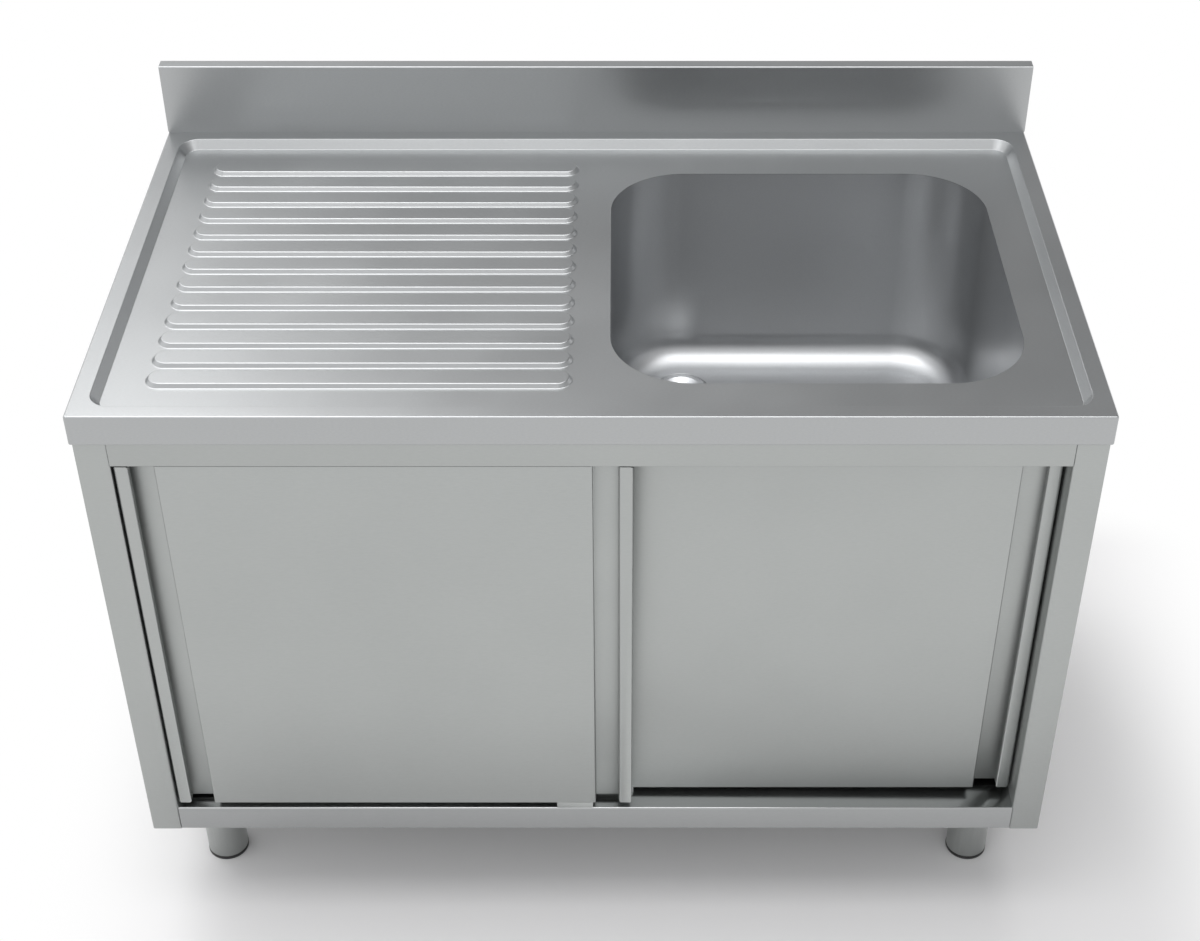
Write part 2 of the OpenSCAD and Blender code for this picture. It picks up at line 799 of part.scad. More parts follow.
// Grooved nylon wheel that runs on the lip of the track
module wheel(x) {
  floor_r = groove_r - wheel_gap;
  color("white") translate([x, groove_y, axle_z - door_z0]) rotate([-90, 0, 0]) rotate_extrude()
    polygon([[axle_r + fit_gap, -wheel_w / 2], [wheel_r, -wheel_w / 2], [wheel_r, -groove_w / 2],
      [floor_r, -groove_w / 2], [floor_r, groove_w / 2], [wheel_r, groove_w / 2],
      [wheel_r, wheel_w / 2], [axle_r + fit_gap, wheel_w / 2]]);
}

module front_door_skin() {
  door_place(0) door_skin();
}

module front_door_liner() {
  door_place(0) door_liner();
}

module front_door_grip_left() {
  door_place(0) door_grip();
}

module front_door_grip_right() {
  door_place(0) door_grip_far();
}

module front_hanger_left() {
  door_place(0) hanger(hanger_inset);
}

module front_hanger_right() {
  door_place(0) hanger(door_w - hanger_inset);
}

module front_axle_left() {
  door_place(0) axle(hanger_inset);
}

module front_axle_right() {
  door_place(0) axle(door_w - hanger_inset);
}

module front_wheel_left() {
  door_place(0) wheel(hanger_inset);
}

module front_wheel_right() {
  door_place(0) wheel(door_w - hanger_inset);
}

module rear_door_skin() {
  door_place(1) door_skin();
}

module rear_door_liner() {
  door_place(1) door_liner();
}

module rear_door_grip_left() {
  door_place(1) door_grip_far();
}

module rear_door_grip_right() {
  door_place(1) door_grip();
}

module rear_hanger_left() {
  door_place(1) hanger(door_w - hanger_inset);
}

module rear_hanger_right() {
  door_place(1) hanger(hanger_inset);
}

module rear_axle_left() {
  door_place(1) axle(door_w - hanger_inset);
}

module rear_axle_right() {
  door_place(1) axle(hanger_inset);
}

module rear_wheel_left() {
  door_place(1) wheel(door_w - hanger_inset);
}

module rear_wheel_right() {
  door_place(1) wheel(hanger_inset);
}

// Legs

// Channel under the floor that the legs are bolted to
module leg_channel(y) {
  x1 = body_x - body_t - bend_r - seat_gap;
  color("lightgray") difference() {
    block(-x1, x1, y - channel_w / 2, y + channel_w / 2, channel_z, floor_z - body_t);
    block(-x1 - cut, x1 + cut, y - channel_w / 2 + channel_t, y + channel_w / 2 - channel_t,
      channel_z + channel_t, floor_z);
    pipe_hole();
  }
}

module leg_channel_front() {
  leg_channel(-leg_y);
}

module leg_channel_back() {
  leg_channel(leg_y);
}

// Leg tube with its mounting plate and the threaded bush for the foot
module leg(x, y) {
  plate_z = channel_z - leg_plate_t;
  tube_z = foot_ring_h + seat_gap;
  color("silver") translate([x, y, 0]) {
    translate([0, 0, plate_z]) cylinder(h = leg_plate_t, r = leg_plate_r);
    difference() {
      translate([0, 0, tube_z]) cylinder(h = plate_z - tube_z, r = leg_r);
      translate([0, 0, tube_z - cut]) cylinder(h = bush_z - tube_z + cut, r = leg_r - leg_t);
      translate([0, 0, bush_z - cut]) cylinder(h = bush_h + 2 * cut, r = stem_r + stem_gap);
      translate([0, 0, bush_z + bush_h]) cylinder(h = plate_z - bush_z - bush_h, r = leg_r - leg_t);
    }
  }
}

// Screw foot: black base ring, locating cup and stem
module foot(x, y) {
  cup_r = leg_r - leg_t - foot_cup_gap;
  color("black") translate([x, y, 0]) {
    cylinder(h = foot_ring_h, r = leg_r + foot_ring_extra);
    translate([0, 0, foot_ring_h]) cylinder(h = foot_cup_h, r = cup_r);
    translate([0, 0, foot_ring_h + foot_cup_h]) cylinder(h = stem_top - foot_ring_h - foot_cup_h, r = stem_r);
  }
}

module leg_front_left() {
  leg(-leg_x, -leg_y);
}

module leg_front_right() {
  leg(leg_x, -leg_y);
}

module leg_back_left() {
  leg(-leg_x, leg_y);
}

module leg_back_right() {
  leg(leg_x, leg_y);
}

module foot_front_left() {
  foot(-leg_x, -leg_y);
}

module foot_front_right() {
  foot(leg_x, -leg_y);
}

module foot_back_left() {
  foot(-leg_x, leg_y);
}

module foot_back_right() {
  foot(leg_x, leg_y);
}

worktop();
upstand_cap_left();
upstand_cap_right();
bowl();
deck_stiffener_left();
deck_stiffener_right();
waste_grid();
waste_seal_top();
waste_seal_bottom();
waste_cup();
waste_screw();
side_left();
side_right();
back_panel();
floor_shelf();
leg_channel_front();
leg_channel_back();
front_rail();
door_track();
stop_front_left();
stop_front_right();
stop_rear_left();
stop_rear_right();
guide_front();
guide_rear();
front_door_skin();
front_door_liner();
front_door_grip_left();
front_door_grip_right();
front_hanger_left();
front_hanger_right();
front_axle_left();
front_axle_right();
front_wheel_left();
front_wheel_right();
rear_door_skin();
rear_door_liner();
rear_door_grip_left();
rear_door_grip_right();
rear_hanger_left();
rear_hanger_right();
rear_axle_left();
rear_axle_right();
rear_wheel_left();
rear_wheel_right();
leg_front_left();
leg_front_right();
leg_back_left();
leg_back_right();
foot_front_left();
foot_front_right();
foot_back_left();
foot_back_right();
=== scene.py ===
import json
import math

import bmesh
import bpy
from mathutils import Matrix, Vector


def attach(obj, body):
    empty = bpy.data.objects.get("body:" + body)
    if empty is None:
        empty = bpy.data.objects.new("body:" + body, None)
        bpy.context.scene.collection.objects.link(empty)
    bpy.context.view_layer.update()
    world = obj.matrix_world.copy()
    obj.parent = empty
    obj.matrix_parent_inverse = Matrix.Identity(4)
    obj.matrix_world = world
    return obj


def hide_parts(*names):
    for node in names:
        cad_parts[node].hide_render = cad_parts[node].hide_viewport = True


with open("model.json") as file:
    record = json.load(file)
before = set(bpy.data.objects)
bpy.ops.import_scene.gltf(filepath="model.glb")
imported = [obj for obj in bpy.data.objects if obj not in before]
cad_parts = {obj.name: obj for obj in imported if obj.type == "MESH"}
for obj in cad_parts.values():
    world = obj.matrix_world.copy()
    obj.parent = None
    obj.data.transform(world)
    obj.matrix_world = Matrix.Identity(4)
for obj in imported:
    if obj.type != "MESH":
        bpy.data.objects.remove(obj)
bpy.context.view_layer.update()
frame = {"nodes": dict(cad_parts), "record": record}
nodes = frame["nodes"]
scene = bpy.context.scene

# All sizes are in metres. The outer ones are the same as the solids'.

# Worktop
HALF_W = 0.600
FRONT_Y = -0.350
BACK_Y = 0.350
UPSTAND_Y = 0.330
RIM_Z = 0.850
UPSTAND_Z = 0.950
UPSTAND_BEND = 0.0018
SKIRT_Z = 0.810
HEM_H = 0.010
HEM_GAP = 0.0002
HEM_ROUND = 0.0018
FOLD_R = 0.0022
FOLD_STEPS = 5
CORNER_R = 0.0008
BEND_SEGMENTS = 4
SHEET = 0.0012

# Recess in the worktop
DECK_Z = 0.838
RECESS_CENTRE = (0.0, -0.009)
RECESS_DX = 0.551
RECESS_DY = 0.293
RECESS_R = 0.027
RECESS_RUN = 0.009
RECESS_DEPTH = 0.012
RECESS_BEND = 0.001
RECESS_BEND_STEPS = 6
RECESS_POINTS = 96

# Drainer ribs
RIB_COUNT = 13
RIB_PITCH = 0.042
RIB_FIRST_Y = -0.259
RIB_X = (-0.506, -0.041)
RIB_R = 0.018
RIB_RUN = 0.004
RIB_H = 0.005
RIB_BEND = 0.0018
RIB_BEND_STEPS = 5
RIB_POINTS = 44

# Bowl
BOWL_CENTRE = (0.271, -0.016)
BOWL_HALF = 0.150
BOWL_R = 0.100
BOWL_FLOOR = 0.538
BOWL_FILLET = 0.040
BOWL_FILLET_STEPS = 16
BOWL_FLANGE = 0.012
BOWL_SHEET = 0.001
BOWL_POINTS = 128

# Seat for the waste, pressed into the bowl's floor
WASTE = (0.121, 0.151)
SEAT_R = 0.038
SEAT_HOLE_R = 0.027
SEAT_DEPTH = 0.0025
SEAT_FOOT = 0.001
SEAT_RUN = 0.0015
SEAT_BEND = 0.0009
SEAT_BEND_STEPS = 3
SEAT_POINTS = 48

# Waste strainer, with its edge as steps (inward, up)
STRAINER_R = 0.035
STRAINER_TOP = 0.5385
STRAINER_WALL = 0.001
STRAINER_EDGE = [(0.0, 0.0015), (0.0002, 0.0003), (0.0004, 0.0002)]
STRAINER_EDGE_H = 0.002
STRAINER_LIP = 0.0058
STRAINER_SLOPE = 0.0108
STRAINER_POINTS = 64
DRAIN_Z = 0.5339
DRAIN_RING = 0.008
DRAIN_HOLES = 10
DRAIN_HOLES_R = 0.013
DRAIN_HOLE_R = 0.0024
DRAIN_HOLE_POINTS = 16
SCREW_SEAT_Z = 0.5355
SCREW_SEAT_RUN = 0.0015
SCREW_SEAT_EDGE = 0.005

# Limits for finding and joining parts of a mesh
SAME_PLACE = 1e-5
MERGE = 1e-6
SHORTEST_STEP = 1e-7
WIDE_FACE = 0.05


# Modelling helpers

def make_active(piece):
    bpy.ops.object.select_all(action="DESELECT")
    piece.select_set(True)
    bpy.context.view_layer.objects.active = piece


def begin_piece(name):
    """Starts an empty mesh object and opens it for modelling."""
    piece = bpy.data.objects.new(name, bpy.data.meshes.new(name))
    scene.collection.objects.link(piece)
    make_active(piece)
    bpy.ops.object.mode_set(mode="EDIT")
    return piece


def edit_mesh():
    return bmesh.from_edit_mesh(bpy.context.edit_object.data)


def refresh():
    bmesh.update_edit_mesh(bpy.context.edit_object.data)


def selected_points():
    return [v for v in edit_mesh().verts if v.select]


def pick(kind, test):
    """Selects the points, edges or faces that pass a test."""
    bpy.ops.mesh.select_mode(type=kind)
    bpy.ops.mesh.select_all(action="DESELECT")
    bm = edit_mesh()
    for item in {"VERT": bm.verts, "EDGE": bm.edges, "FACE": bm.faces}[kind]:
        if test(item):
            item.select_set(True)
    refresh()


def near(a, b, tolerance=SAME_PLACE):
    return abs(a - b) < tolerance


def flat_at(z):
    """Test for an edge or face whose points all lie at height z."""
    return lambda item: all(near(v.co.z, z) for v in item.verts)


def wide_at(z):
    """Test for the wide face at height z, not the narrow ones round it."""
    return lambda face: flat_at(z)(face) and face.calc_area() > WIDE_FACE


def open_face():
    """Deletes the selected faces and leaves their edges round an opening."""
    bpy.ops.mesh.delete(type="ONLY_FACE")


def fill_between(test):
    """Fills the area between the closed loops of edges that pass a test."""
    pick("EDGE", test)
    bpy.ops.mesh.fill(use_beauty=True)


def add_round_plate(centre, z, radius, dx, dy, points):
    """Adds a flat face with round corners; dx and dy run from its middle to the corner centres."""
    bpy.ops.mesh.select_all(action="DESELECT")
    bpy.ops.mesh.primitive_circle_add(
        vertices=points, radius=radius, fill_type="NGON",
        location=(centre[0], centre[1], z), rotation=(0, 0, math.pi / points),
    )
    for v in selected_points():
        if dx:
            v.co.x += math.copysign(dx, v.co.x - centre[0])
        if dy:
            v.co.y += math.copysign(dy, v.co.y - centre[1])
    refresh()


def slope_steps(foot, run, rise, radius, count):
    """Steps (inward, up) of a pressed slope that leaves and meets the level through round bends."""
    corners = [Vector(c) for c in ((-foot, 0), (0, 0), (run, rise), (run + foot, rise))]
    points = [corners[0]]
    for before, corner, after in zip(corners, corners[1:], corners[2:]):
        a = (before - corner).normalized()
        b = (after - corner).normalized()
        half = a.angle(b) / 2
        reach = radius / math.tan(half)
        centre = corner + (a + b).normalized() * (radius / math.sin(half))
        start = corner + a * reach - centre
        end = corner + b * reach - centre
        whole = start.angle(end)
        for k in range(count + 1):
            t = k / count
            mixed = start * math.sin((1 - t) * whole) + end * math.sin(t * whole)
            points.append(centre + mixed / math.sin(whole))
    points.append(corners[-1])
    steps = [q - p for p, q in zip(points, points[1:])]
    return [(s.x, s.y) for s in steps if s.length > SHORTEST_STEP]


def round_steps(radius, count):
    """Steps (inward, up) of a quarter round that starts upright and ends level below."""
    steps = []
    for k in range(count):
        a0, a1 = (math.pi / 2 * i / count for i in (k, k + 1))
        steps.append((radius * (math.cos(a0) - math.cos(a1)), -radius * (math.sin(a1) - math.sin(a0))))
    return steps


def press(steps):
    """Insets the selected face again and again, each time inward and up or down."""
    for inward, up in steps:
        bpy.ops.mesh.inset(
            thickness=max(inward, 0.0), depth=up, use_even_offset=True, use_boundary=True
        )


def push(x=0.0, y=0.0, z=0.0):
    """Extrudes the selected edges or faces and moves them."""
    bpy.ops.mesh.extrude_region_move(TRANSFORM_OT_translate={"value": (x, y, z)})


def round_off(size, affect="EDGES"):
    """Rounds off the selected edges or corner points."""
    bpy.ops.mesh.bevel(offset=size, segments=BEND_SEGMENTS, affect=affect)


def merge_points():
    """Merges points that lie on each other."""
    bpy.ops.mesh.select_mode(type="VERT")
    bpy.ops.mesh.select_all(action="SELECT")
    bpy.ops.mesh.remove_doubles(threshold=MERGE)


def finish_piece(piece, wall, angle=35.0):
    """Gives a sheet its wall and even shading, and leaves it in object mode."""
    merge_points()
    bpy.ops.object.mode_set(mode="OBJECT")
    make_active(piece)
    sheet = piece.modifiers.new("wall", "SOLIDIFY")
    sheet.thickness = wall
    sheet.use_even_offset = True
    bpy.ops.object.modifier_apply(modifier="wall")
    bpy.ops.object.shade_smooth_by_angle(angle=math.radians(angle))
    shading = piece.modifiers.new("even", "WEIGHTED_NORMAL")
    shading.keep_sharp = True
    bpy.ops.object.modifier_apply(modifier="even")


# Worktop

def press_recess():
    """Presses the recess down through two bends and opens its floor."""
    foot = RECESS_BEND / 2
    add_round_plate(RECESS_CENTRE, RIM_Z, RECESS_R + foot, RECESS_DX, RECESS_DY, RECESS_POINTS)
    press(slope_steps(foot, RECESS_RUN, -RECESS_DEPTH, RECESS_BEND, RECESS_BEND_STEPS))
    pick("FACE", wide_at(DECK_Z))
    open_face()


def press_deck():
    """Fills the deck round the ribs and the bowl's mouth, and presses the ribs up."""
    rib_ys = [RIB_FIRST_Y + i * RIB_PITCH for i in range(RIB_COUNT)]
    rib_mid = (RIB_X[0] + RIB_X[1]) / 2
    rib_half = (RIB_X[1] - RIB_X[0]) / 2
    foot = RIB_BEND / 2
    for y in rib_ys:
        add_round_plate((rib_mid, y), DECK_Z, RIB_R + foot, rib_half, 0, RIB_POINTS)
    add_round_plate(BOWL_CENTRE, DECK_Z, BOWL_R, BOWL_HALF, BOWL_HALF, BOWL_POINTS)
    fill_between(flat_at(DECK_Z))
    pick("FACE", lambda f: len(f.verts) == BOWL_POINTS)
    open_face()
    rib_steps = slope_steps(foot, RIB_RUN, RIB_H, RIB_BEND, RIB_BEND_STEPS)
    for y in rib_ys:
        pick("FACE", lambda f: len(f.verts) == RIB_POINTS and near(f.calc_center_median().y, y, RIB_R))
        press(rib_steps)


def lay_rim():
    """Lays the rim from the recess out to the folds, with small round corners at the front."""
    bpy.ops.mesh.select_all(action="DESELECT")
    bpy.ops.mesh.primitive_plane_add(size=1, location=(0, (FRONT_Y + UPSTAND_Y) / 2, RIM_Z))
    for v in selected_points():
        v.co.x = math.copysign(HALF_W - FOLD_R, v.co.x)
        v.co.y = FRONT_Y + FOLD_R if v.co.y < 0 else UPSTAND_Y
    refresh()
    pick("VERT", lambda v: near(abs(v.co.x), HALF_W - FOLD_R) and v.co.y < 0)
    round_off(CORNER_R, "VERTICES")
    pick("FACE", wide_at(RIM_Z))
    open_face()
    fill_between(lambda e: flat_at(RIM_Z)(e) and len(e.link_faces) < 2)


def fold_upstand():
    """Folds the upstand up, back over its top and down behind, as far as the skirt's round fold."""
    pick("EDGE", lambda e: all(near(v.co.y, UPSTAND_Y) for v in e.verts))
    push(z=FOLD_R)
    for v in selected_points():
        v.co.x = math.copysign(HALF_W, v.co.x)
    refresh()
    push(z=UPSTAND_Z - RIM_Z - FOLD_R)
    push(y=BACK_Y - UPSTAND_Y)
    push(z=RIM_Z - FOLD_R - UPSTAND_Z)
    push(z=SKIRT_Z + HEM_ROUND - RIM_Z + FOLD_R)


def spread(distance):
    """Moves the selected edge of the worktop outward, with its round corners."""
    core_x = HALF_W - FOLD_R - CORNER_R
    core_y = FRONT_Y + FOLD_R + CORNER_R
    for v in selected_points():
        away = Vector((v.co.x - min(max(v.co.x, -core_x), core_x), v.co.y - max(v.co.y, core_y), 0))
        v.co += away.normalized() * distance
    refresh()


def fold_skirt():
    """Folds the skirt over a round edge, down, and back up inside as a hem, and runs it to the back."""
    pick("EDGE", lambda e: flat_at(RIM_Z)(e) and len(e.link_faces) < 2)
    # The quarter round lies on its side here, so that it starts level and ends upright
    for down, inward in round_steps(FOLD_R, FOLD_STEPS):
        push(z=-down)
        spread(-inward)
    push(z=SKIRT_Z - RIM_Z + FOLD_R)
    push()
    spread(-2 * SHEET - HEM_GAP)
    push(z=HEM_H)
    above_hem = SKIRT_Z + 2 * HEM_H
    pick("EDGE", lambda e: flat_at(SKIRT_Z)(e)
         and max(v.co.z for f in e.link_faces for v in f.verts) > above_hem)
    round_off(HEM_ROUND)
    pick("EDGE", lambda e: len(e.link_faces) < 2
         and all(near(v.co.y, UPSTAND_Y) and v.co.z < RIM_Z + SAME_PLACE for v in e.verts))
    push(y=BACK_Y - UPSTAND_Y)


def make_worktop():
    """The pressed and folded worktop sheet with its recess, ribs, skirt and upstand."""
    piece = begin_piece("worktop_sheet")
    press_recess()
    press_deck()
    lay_rim()
    fold_upstand()
    fold_skirt()
    merge_points()
    bpy.ops.mesh.normals_make_consistent(inside=False)
    # Bends along the top of the upstand
    pick("EDGE", lambda e: flat_at(UPSTAND_Z)(e) and near(e.verts[0].co.y, e.verts[1].co.y))
    round_off(UPSTAND_BEND)
    return piece


worktop = make_worktop()
finish_piece(worktop, wall=SHEET)
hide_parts("worktop")
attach(worktop, "cabinet")


# Bowl

def press_waste_seat():
    """Presses the seat for the waste into the bowl's floor and opens its hole."""
    add_round_plate(WASTE, BOWL_FLOOR, SEAT_R + SEAT_FOOT, 0, 0, SEAT_POINTS)
    fill_between(flat_at(BOWL_FLOOR))
    pick("FACE", lambda f: len(f.verts) == SEAT_POINTS)
    press(slope_steps(SEAT_FOOT, SEAT_RUN, -SEAT_DEPTH, SEAT_BEND, SEAT_BEND_STEPS))
    press([(SEAT_R - SEAT_FOOT - SEAT_RUN - SEAT_HOLE_R, 0.0)])
    open_face()


def make_bowl():
    """The drawn bowl: weld flange, straight walls, round floor edge and seat for the waste."""
    piece = begin_piece("bowl_shell")
    mouth_z = DECK_Z - SHEET
    wall_h = mouth_z - BOWL_FLOOR - BOWL_FILLET
    add_round_plate(BOWL_CENTRE, mouth_z, BOWL_R + BOWL_FLANGE, BOWL_HALF, BOWL_HALF, BOWL_POINTS)
    press([(BOWL_FLANGE, 0.0), (0.0, -wall_h / 2), (0.0, -wall_h / 2)])
    press(round_steps(BOWL_FILLET, BOWL_FILLET_STEPS))
    pick("FACE", wide_at(BOWL_FLOOR))
    open_face()
    press_waste_seat()
    return piece


bowl = make_bowl()
finish_piece(bowl, wall=BOWL_SHEET)
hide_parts("bowl")
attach(bowl, "cabinet")


# Waste strainer

def make_strainer():
    """The polished waste dish: a lip, a slope down to a ring of holes, and a seat for the screw."""
    piece = begin_piece("waste_strainer")
    add_round_plate(WASTE, STRAINER_TOP - STRAINER_EDGE_H, STRAINER_R, 0, 0, STRAINER_POINTS)
    press(STRAINER_EDGE + [(STRAINER_LIP, 0.0)])
    press([(STRAINER_SLOPE, DRAIN_Z - STRAINER_TOP), (DRAIN_RING, 0.0)])
    press([(SCREW_SEAT_RUN, SCREW_SEAT_Z - DRAIN_Z), (SCREW_SEAT_EDGE, 0.0)])
    open_face()
    # The ring is laid again round its holes
    pick("FACE", lambda f: flat_at(DRAIN_Z)(f) and len(f.verts) == 4)
    bpy.ops.mesh.delete(type="FACE")
    for i in range(DRAIN_HOLES):
        turn = 2 * math.pi * i / DRAIN_HOLES
        hole_x = WASTE[0] + DRAIN_HOLES_R * math.cos(turn)
        hole_y = WASTE[1] + DRAIN_HOLES_R * math.sin(turn)
        add_round_plate((hole_x, hole_y), DRAIN_Z, DRAIN_HOLE_R, 0, 0, DRAIN_HOLE_POINTS)
    fill_between(flat_at(DRAIN_Z))
    pick("FACE", lambda f: len(f.verts) == DRAIN_HOLE_POINTS)
    open_face()
    return piece


strainer = make_strainer()
finish_piece(strainer, wall=STRAINER_WALL, angle=15.0)
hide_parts("waste_grid")
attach(strainer, "cabinet")


# Carried-over parts

EASE = 0.0003
EASE_ANGLE = math.radians(30.0)
FLAT_ANGLE = math.radians(0.5)


def ease_edges(node):
    """Welds a part's loose triangles, joins its flat faces and eases its edges."""
    mesh = node.data
    mesh.polygons.foreach_set("use_smooth", [True] * len(mesh.polygons))
    weld = node.modifiers.new("weld", "WELD")
    weld.merge_threshold = MERGE
    flat = node.modifiers.new("flat", "DECIMATE")
    flat.decimate_type = "DISSOLVE"
    flat.angle_limit = FLAT_ANGLE
    ease = node.modifiers.new("ease", "BEVEL")
    ease.limit_method = "ANGLE"
    ease.angle_limit = EASE_ANGLE
    ease.width = EASE
    ease.segments = 2
    ease.harden_normals = True


for name in nodes:
    if name not in ("worktop", "bowl", "waste_grid"):
        ease_edges(nodes[name])


# Material helpers

def node_link(tree, a, a_out, b, b_in):
    tree.links.new(a.outputs[a_out], b.inputs[b_in])


def math_node(tree, operation, first, second=None):
    """A Math node whose inputs are numbers or (node, output) pairs."""
    node = tree.nodes.new("ShaderNodeMath")
    node.operation = operation
    for i, value in enumerate((first, second)):
        if isinstance(value, tuple):
            node_link(tree, value[0], value[1], node, i)
        elif value is not None:
            node.inputs[i].default_value = value
    return node


def range_node(tree, source, span, result=(0.0, 1.0), interpolation="LINEAR"):
    """A Map Range node from span to result, fed by a (node, output) pair."""
    node = tree.nodes.new("ShaderNodeMapRange")
    node.interpolation_type = interpolation
    node.inputs["From Min"].default_value = span[0]
    node.inputs["From Max"].default_value = span[1]
    node.inputs["To Min"].default_value = result[0]
    node.inputs["To Max"].default_value = result[1]
    node_link(tree, source[0], source[1], node, "Value")
    return node


# Steels, rubber and plastics

def make_grain_group():
    """Fine brushed grain and a broad cloud, from Object coordinates."""
    group = bpy.data.node_groups.new("brushed_grain", "ShaderNodeTree")
    face = group.interface
    for name, value in (("Length", 12.0), ("Fineness", 900.0), ("Cloud Size", 6.0)):
        socket = face.new_socket(name=name, in_out="INPUT", socket_type="NodeSocketFloat")
        socket.default_value = value
    face.new_socket(name="Vector", in_out="INPUT", socket_type="NodeSocketVector")
    face.new_socket(name="Grain", in_out="OUTPUT", socket_type="NodeSocketFloat")
    face.new_socket(name="Cloud", in_out="OUTPUT", socket_type="NodeSocketFloat")
    n = group.nodes
    entry = n.new("NodeGroupInput")
    leave = n.new("NodeGroupOutput")
    split = n.new("ShaderNodeSeparateXYZ")
    node_link(group, entry, "Vector", split, "Vector")
    shrink = math_node(group, "DIVIDE", (split, "X"), (entry, "Length"))
    join = n.new("ShaderNodeCombineXYZ")
    node_link(group, shrink, "Value", join, "X")
    node_link(group, split, "Y", join, "Y")
    node_link(group, split, "Z", join, "Z")
    grain = n.new("ShaderNodeTexNoise")
    grain.inputs["Detail"].default_value = 3.0
    grain.inputs["Roughness"].default_value = 0.6
    node_link(group, join, "Vector", grain, "Vector")
    node_link(group, entry, "Fineness", grain, "Scale")
    node_link(group, grain, "Fac", leave, "Grain")
    cloud = n.new("ShaderNodeTexNoise")
    cloud.inputs["Detail"].default_value = 2.0
    node_link(group, entry, "Vector", cloud, "Vector")
    node_link(group, entry, "Cloud Size", cloud, "Scale")
    node_link(group, cloud, "Fac", leave, "Cloud")
    return group


GRAIN = make_grain_group()
CLOUD_SPAN = (0.3, 0.7)
BUMP_STRENGTH = 0.5


def grain_tone(tree, grain, dark, light):
    """Mixes a dark and a light tone by the grain."""
    tone = tree.nodes.new("ShaderNodeMix")
    tone.data_type = "RGBA"
    tone.inputs["A"].default_value = (*dark, 1)
    tone.inputs["B"].default_value = (*light, 1)
    node_link(tree, grain, "Grain", tone, "Factor")
    return tone


def make_finish(name, dark, light, rough, grain_length, fineness, bump, metallic):
    """A surface with a brushed grain that changes its tone, gloss and height."""
    material = bpy.data.materials.new(name)
    material.use_nodes = True
    tree = material.node_tree
    n = tree.nodes
    shader = n["Principled BSDF"]
    shader.inputs["Metallic"].default_value = metallic
    place = n.new("ShaderNodeTexCoord")
    place.name = "place"
    grain = n.new("ShaderNodeGroup")
    grain.name = "grain"
    grain.node_tree = GRAIN
    grain.inputs["Length"].default_value = grain_length
    grain.inputs["Fineness"].default_value = fineness
    node_link(tree, place, "Object", grain, "Vector")
    tone = grain_tone(tree, grain, dark, light)
    tone.name = "tone"
    node_link(tree, tone, "Result", shader, "Base Color")
    gloss = range_node(tree, (grain, "Cloud"), CLOUD_SPAN, rough)
    gloss.name = "gloss"
    node_link(tree, gloss, "Result", shader, "Roughness")
    relief = n.new("ShaderNodeBump")
    relief.inputs["Distance"].default_value = bump
    relief.inputs["Strength"].default_value = BUMP_STRENGTH
    node_link(tree, grain, "Grain", relief, "Height")
    node_link(tree, relief, "Normal", shader, "Normal")
    return material


def paint_light_zone(material, axis, span, dark, light, rough):
    """Gives the steel past a place on one axis its own roughness and grain tones; the tones are painted
    light.
    """
    tree = material.node_tree
    n = tree.nodes
    shader = n["Principled BSDF"]
    split = n.new("ShaderNodeSeparateXYZ")
    node_link(tree, n["place"], "Object", split, "Vector")
    zone = range_node(tree, (split, axis), span)
    both_tones = n.new("ShaderNodeMix")
    both_tones.data_type = "RGBA"
    node_link(tree, zone, "Result", both_tones, "Factor")
    node_link(tree, n["tone"], "Result", both_tones, "A")
    node_link(tree, grain_tone(tree, n["grain"], dark, light), "Result", both_tones, "B")
    node_link(tree, both_tones, "Result", shader, "Base Color")
    polish = range_node(tree, (n["grain"], "Cloud"), CLOUD_SPAN, rough)
    both_glosses = n.new("ShaderNodeMix")
    node_link(tree, zone, "Result", both_glosses, "Factor")
    node_link(tree, n["gloss"], "Result", both_glosses, "A")
    node_link(tree, polish, "Result", both_glosses, "B")
    node_link(tree, both_glosses, "Result", shader, "Roughness")


# Dark tone, light tone, roughness, length, fineness and height of the grain, and metal or not
FINISHES = {
    "satin_steel": (
        (0.427, 0.441, 0.434), (0.489, 0.504, 0.495), (0.45, 0.51), 10.0, 1400.0, 0.00002, 1.0),
    "deck_steel": (
        (0.41, 0.419, 0.423), (0.49, 0.5, 0.505), (0.29, 0.34), 4.0, 1000.0, 0.00004, 1.0),
    "bowl_steel": (
        (0.48, 0.488, 0.496), (0.553, 0.562, 0.572), (0.32, 0.37), 1.5, 700.0, 0.00003, 1.0),
    # Painted shade: the cabinet's floor gets a darker steel tone than the satin steel, which darkens
    # its folded front edge
    "shelf_steel_painted_light_and_shade": (
        (0.37, 0.377, 0.38), (0.43, 0.438, 0.44), (0.45, 0.51), 10.0, 1400.0, 0.00002, 1.0),
    "zinc_steel": (
        (0.42, 0.43, 0.45), (0.55, 0.56, 0.58), (0.35, 0.5), 1.0, 300.0, 0.00003, 1.0),
    "chrome_trim": (
        (0.72, 0.73, 0.74), (0.78, 0.79, 0.8), (0.1, 0.18), 1.0, 500.0, 0.00001, 1.0),
    "black_rubber": (
        (0.015, 0.015, 0.015), (0.03, 0.03, 0.03), (0.6, 0.75), 1.0, 800.0, 0.00005, 0.0),
    "black_plastic": (
        (0.012, 0.012, 0.012), (0.025, 0.025, 0.025), (0.4, 0.5), 1.0, 800.0, 0.00003, 0.0),
    "white_plastic": (
        (0.72, 0.72, 0.7), (0.8, 0.8, 0.78), (0.35, 0.45), 1.0, 400.0, 0.00002, 0.0),
}
# The cabinet's floor is polished on top and satin on its folded front edge. Painted light and shade:
# its top is also painted a much lighter steel tone, and its front edge a darker tone than the doors'
# satin steel.
SHELF_PAINTED_LIGHT_Z = (0.2015, 0.2025)
SHELF_PAINTED_LIT_DARK = (0.55, 0.56, 0.56)
SHELF_PAINTED_LIT_LIGHT = (0.62, 0.63, 0.63)
SHELF_ROUGH = (0.20, 0.25)

finish = {name: make_finish(name, *values) for name, values in FINISHES.items()}
